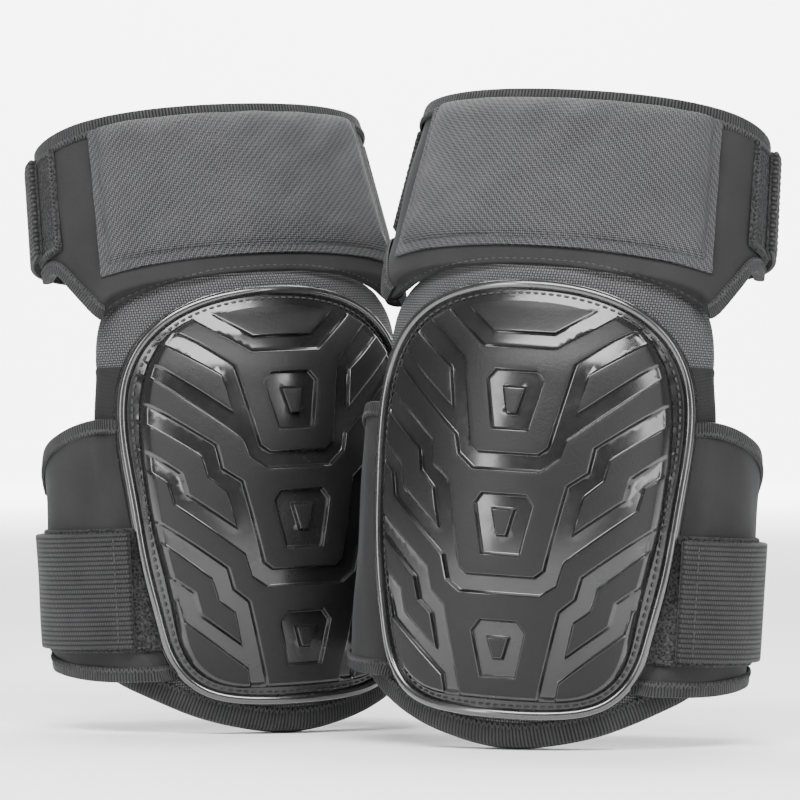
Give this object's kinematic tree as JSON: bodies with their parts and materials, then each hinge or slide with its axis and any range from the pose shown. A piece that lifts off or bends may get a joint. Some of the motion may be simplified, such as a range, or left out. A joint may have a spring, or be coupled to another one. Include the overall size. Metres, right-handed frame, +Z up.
{
  "type": "strap-on knee pads",
  "caption": "Pair of work knee pads with hard treaded caps, foam and gel pads, neoprene wings, hinged padded thigh cuffs and hook-and-loop straps.",
  "frame": {"origin": "middle of the box of both pads, on the surface they stand on", "axes": "+Z up along the legs, -Y the way the caps face, +X to the right as seen from the front; right and left in names are as seen from the front"},
  "size_m": [0.3418, 0.2642, 0.2855],
  "materials": {
    "cap_plastic": "satin grained black with glossy channels",
    "foam": "closed-cell foam",
    "thread": "polyester thread",
    "woven_cover": "coarse woven polyester",
    "side_fabric": "fine woven polyester",
    "gel": "soft gel",
    "lining": "brushed knit",
    "binding_tape": "ribbed grosgrain",
    "neoprene": "neoprene with smooth jersey face",
    "edge_tape": "stretch binding",
    "loop_tape": "brushed loop pile",
    "panel_fabric": "oxford weave",
    "webbing": "elastic webbing",
    "hook_tape": "moulded hooks"
  },
  "bodies": {
    "right_pad": {"right_cap": "cap_plastic", "right_cap_backing_foam": "foam", "right_cap_thread": "thread", "right_front_cover": "woven_cover", "right_side_panel_outer": "side_fabric", "right_side_panel_inner": "side_fabric", "right_foam_core": "foam", "right_gel_insert": "gel", "right_knee_lining": "lining", "right_base_binding": "binding_tape", "right_calf_wing_outer": "neoprene", "right_calf_wing_inner": "neoprene", "right_calf_edge_tape_outer": "edge_tape", "right_calf_edge_tape_inner": "edge_tape", "right_calf_loop_patch": "loop_tape", "right_calf_strap_base": "webbing"},
    "right_cuff": {"right_thigh_cuff": "neoprene", "right_cuff_top_tape": "edge_tape", "right_cuff_lower_tape": "edge_tape", "right_thigh_panel_cover": "panel_fabric", "right_thigh_panel_foam": "foam", "right_thigh_loop_patch": "loop_tape"},
    "right_thigh_strap_body": {"right_thigh_strap": "webbing", "right_thigh_hook_tape": "hook_tape"},
    "right_calf_strap_body": {"right_calf_strap": "webbing", "right_calf_hook_tape": "hook_tape"},
    "left_pad": {"left_cap": "cap_plastic", "left_cap_backing_foam": "foam", "left_cap_thread": "thread", "left_front_cover": "woven_cover", "left_side_panel_outer": "side_fabric", "left_side_panel_inner": "side_fabric", "left_foam_core": "foam", "left_gel_insert": "gel", "left_knee_lining": "lining", "left_base_binding": "binding_tape", "left_calf_wing_outer": "neoprene", "left_calf_wing_inner": "neoprene", "left_calf_edge_tape_outer": "edge_tape", "left_calf_edge_tape_inner": "edge_tape", "left_calf_loop_patch": "loop_tape", "left_calf_strap_base": "webbing"},
    "left_cuff": {"left_thigh_cuff": "neoprene", "left_cuff_top_tape": "edge_tape", "left_cuff_lower_tape": "edge_tape", "left_thigh_panel_cover": "panel_fabric", "left_thigh_panel_foam": "foam", "left_thigh_loop_patch": "loop_tape"},
    "left_thigh_strap_body": {"left_thigh_strap": "webbing", "left_thigh_hook_tape": "hook_tape"},
    "left_calf_strap_body": {"left_calf_strap": "webbing", "left_calf_hook_tape": "hook_tape"}
  },
  "joints": [
    {"name": "pair_apart", "type": "slide", "parent": "right_pad", "child": "left_pad", "axis": [-1, 0, 0], "range_m": [0, 0.25]},
    {"name": "right_cuff_flex", "type": "hinge", "parent": "right_pad", "child": "right_cuff", "pos_m": [0.06295, -0.09596, 0.20674], "axis": [-0.9492, 0.309, 0.0597], "range_deg": [-10, 30]},
    {"name": "right_thigh_strap_open", "type": "hinge", "parent": "right_cuff", "child": "right_thigh_strap_body", "pos_m": [0.01228, 0.00012, 0.24185], "axis": [0.2324, 0.2501, 0.9399], "range_deg": [0, 55]},
    {"name": "right_calf_strap_open", "type": "hinge", "parent": "right_pad", "child": "right_calf_strap_body", "pos_m": [0.07616, 0.0083, 0.06513], "axis": [0.0628, 0, 0.998], "range_deg": [0, 55]},
    {"name": "left_cuff_flex", "type": "hinge", "parent": "left_pad", "child": "left_cuff", "pos_m": [-0.05873, 0.01387, 0.20687], "axis": [-0.9192, -0.3907, -0.0482], "range_deg": [-10, 30]},
    {"name": "left_thigh_strap_open", "type": "hinge", "parent": "left_cuff", "child": "left_thigh_strap_body", "pos_m": [-0.01626, 0.11419, 0.241], "axis": [0.2437, -0.234, -0.9412], "range_deg": [0, 55]},
    {"name": "left_calf_strap_open", "type": "hinge", "parent": "left_pad", "child": "left_calf_strap_body", "pos_m": [-0.08242, 0.11581, 0.06494], "axis": [0.0523, 0, -0.9986], "range_deg": [0, 55]}
  ]
}
